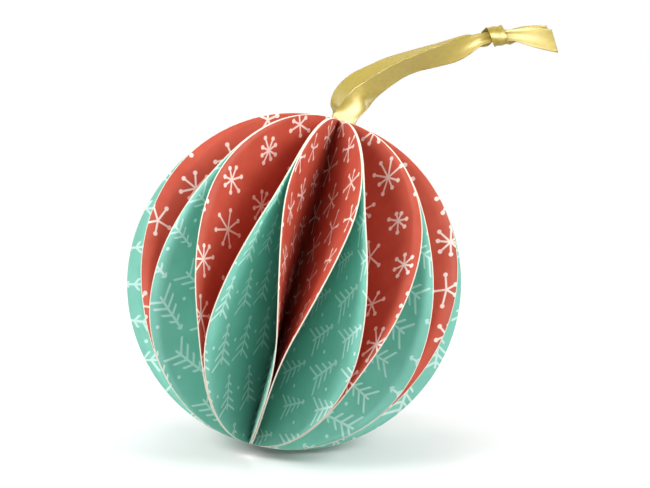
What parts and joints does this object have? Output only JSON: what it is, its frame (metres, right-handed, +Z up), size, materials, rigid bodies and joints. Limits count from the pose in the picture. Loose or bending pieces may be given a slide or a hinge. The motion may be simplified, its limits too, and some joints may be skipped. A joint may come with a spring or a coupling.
{
  "type": "paper bauble",
  "caption": "Ball-shaped hanging ornament of folded card discs, whose S-curved leaves pair up alternately at top and bottom, with a doubled satin ribbon tied in a knot as its hanger.",
  "frame": {"origin": "middle of the ball, on the axis round which the discs are glued", "axes": "+Z up the axis to the ribbon, -Y towards the picture's viewer, +X to the viewer's right"},
  "size_m": [0.0863, 0.0798, 0.1152],
  "materials": {
    "printed_card": "matt printed card",
    "satin_ribbon": "satin weave"
  },
  "bodies": {
    "root": {"folded_disc_01": "printed_card", "folded_disc_02": "printed_card", "folded_disc_03": "printed_card", "folded_disc_04": "printed_card", "folded_disc_05": "printed_card", "folded_disc_06": "printed_card", "folded_disc_07": "printed_card", "folded_disc_08": "printed_card", "folded_disc_09": "printed_card", "folded_disc_10": "printed_card", "folded_disc_11": "printed_card", "folded_disc_12": "printed_card", "hanging_ribbon": "satin_ribbon"}
  },
  "joints": []
}
